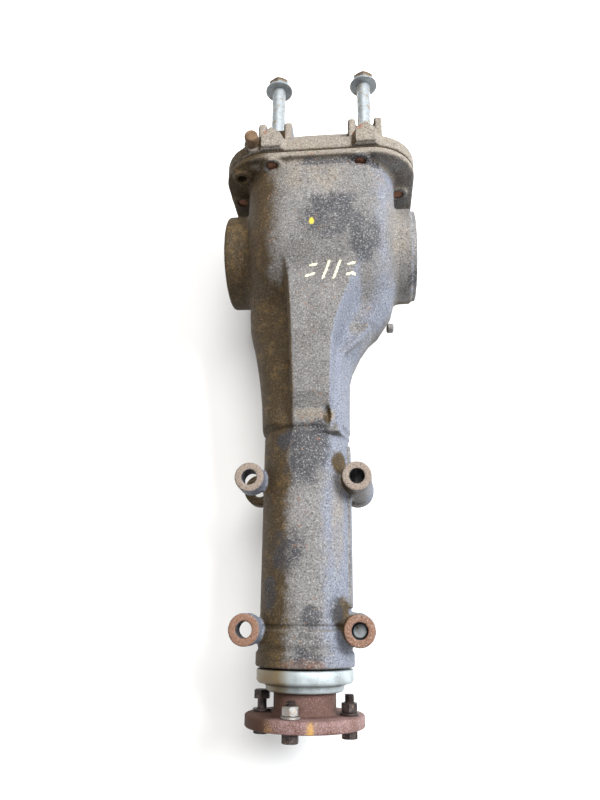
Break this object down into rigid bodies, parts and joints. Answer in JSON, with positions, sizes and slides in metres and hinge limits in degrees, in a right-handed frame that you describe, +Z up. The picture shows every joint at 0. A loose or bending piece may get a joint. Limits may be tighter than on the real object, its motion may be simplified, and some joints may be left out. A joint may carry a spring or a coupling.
{
  "type": "rear differential",
  "caption": "Used rear differential with a long cast-iron nose, bolted rear cover, side outputs, companion flange and working hypoid-style gears inside.",
  "frame": {"origin": "middle of the object's box at its lowest level, the foot of the carrier flange", "axes": "+X along the axle shafts to the ring gear side, +Y along the drive pinion from the companion flange to the rear cover, +Z up to the faces of the nose bosses"},
  "size_m": [0.1892, 0.6384, 0.189],
  "materials": {
    "cast_iron": "sand-cast, weathered, with grime and rust specks",
    "rusty_iron": "evenly rusted machined steel",
    "zinc_steel": "bright zinc plate with dull stains",
    "dull_zinc": "dull passivated zinc",
    "dark_steel": "black phosphated, oily",
    "gear_steel": "ground steel with oil film",
    "seal_rubber": "black nitrile rubber",
    "gasket": "dark gasket paper"
  },
  "bodies": {
    "housing": {"nose_housing": "cast_iron", "shoulder_housing": "cast_iron", "bowl_housing": "cast_iron", "carrier_flange": "cast_iron", "rear_cover": "cast_iron", "cover_gasket": "gasket", "cover_bolt_1": "rusty_iron", "cover_bolt_2": "rusty_iron", "cover_bolt_3": "rusty_iron", "cover_bolt_4": "rusty_iron", "cover_bolt_5": "rusty_iron", "cover_bolt_6": "rusty_iron", "cover_bolt_7": "rusty_iron", "cover_bolt_8": "rusty_iron", "fill_plug": "dark_steel", "drain_plug": "dark_steel", "breather_plug": "rusty_iron", "left_mounting_bolt": "zinc_steel", "right_mounting_bolt": "zinc_steel", "nose_mounting_bolt": "zinc_steel", "left_side_bearing_cup": "gear_steel", "right_side_bearing_cup": "gear_steel", "rear_pinion_bearing_cup": "gear_steel", "front_pinion_bearing_cup": "gear_steel", "left_bearing_adjuster": "dark_steel", "right_bearing_adjuster": "dark_steel", "left_axle_seal": "seal_rubber", "right_axle_seal": "seal_rubber", "pinion_oil_seal": "seal_rubber"},
    "pinion_shaft": {"drive_pinion": "gear_steel", "rear_pinion_bearing_cone": "gear_steel", "front_pinion_bearing_cone": "gear_steel", "pinion_spacer": "dark_steel", "companion_flange": "rusty_iron", "dust_shield": "dull_zinc", "pinion_nut": "dark_steel", "flange_bolt_1": "dark_steel", "flange_bolt_2": "dark_steel", "flange_bolt_3": "dark_steel", "flange_bolt_4": "dark_steel", "flange_nut_1": "dark_steel", "flange_nut_2": "dark_steel", "flange_nut_3": "dark_steel", "flange_nut_4": "dark_steel", "flange_washer_1": "dark_steel", "flange_washer_2": "dark_steel", "flange_washer_3": "dark_steel", "flange_washer_4": "dark_steel"},
    "case": {"differential_case": "cast_iron", "ring_gear": "gear_steel", "left_side_bearing_cone": "gear_steel", "right_side_bearing_cone": "gear_steel", "cross_shaft": "gear_steel", "lock_pin": "dark_steel", "left_thrust_washer": "dark_steel", "right_thrust_washer": "dark_steel"},
    "left_axle_gear": {"left_side_gear": "gear_steel"},
    "right_axle_gear": {"right_side_gear": "gear_steel"},
    "upper_mate": {"upper_pinion_mate": "gear_steel"},
    "lower_mate": {"lower_pinion_mate": "gear_steel"}
  },
  "joints": [
    {"name": "case_spin", "type": "hinge", "parent": "housing", "child": "case", "pos_m": [-0.0154, 0.12575, 0.088], "axis": [1, 0, 0], "continuous": true},
    {"name": "pinion_spin", "type": "hinge", "parent": "housing", "child": "pinion_shaft", "pos_m": [-0.0154, 0.12575, 0.088], "axis": [0, 1, 0], "continuous": true},
    {"name": "left_axle_spin", "type": "hinge", "parent": "case", "child": "left_axle_gear", "pos_m": [-0.0154, 0.12575, 0.088], "axis": [1, 0, 0], "continuous": true},
    {"name": "right_axle_spin", "type": "hinge", "parent": "case", "child": "right_axle_gear", "pos_m": [-0.0154, 0.12575, 0.088], "axis": [1, 0, 0], "continuous": true},
    {"name": "upper_mate_spin", "type": "hinge", "parent": "case", "child": "upper_mate", "pos_m": [-0.0154, 0.12575, 0.088], "axis": [0, 0, 1], "continuous": true},
    {"name": "lower_mate_spin", "type": "hinge", "parent": "case", "child": "lower_mate", "pos_m": [-0.0154, 0.12575, 0.088], "axis": [0, 0, 1], "continuous": true}
  ],
  "couplings": [
    {"joint": "pinion_spin", "follows": "case_spin", "ratio": 4.1111},
    {"joint": "right_axle_spin", "follows": "left_axle_spin", "ratio": -1},
    {"joint": "upper_mate_spin", "follows": "left_axle_spin", "ratio": 1.6},
    {"joint": "lower_mate_spin", "follows": "left_axle_spin", "ratio": -1.6}
  ]
}
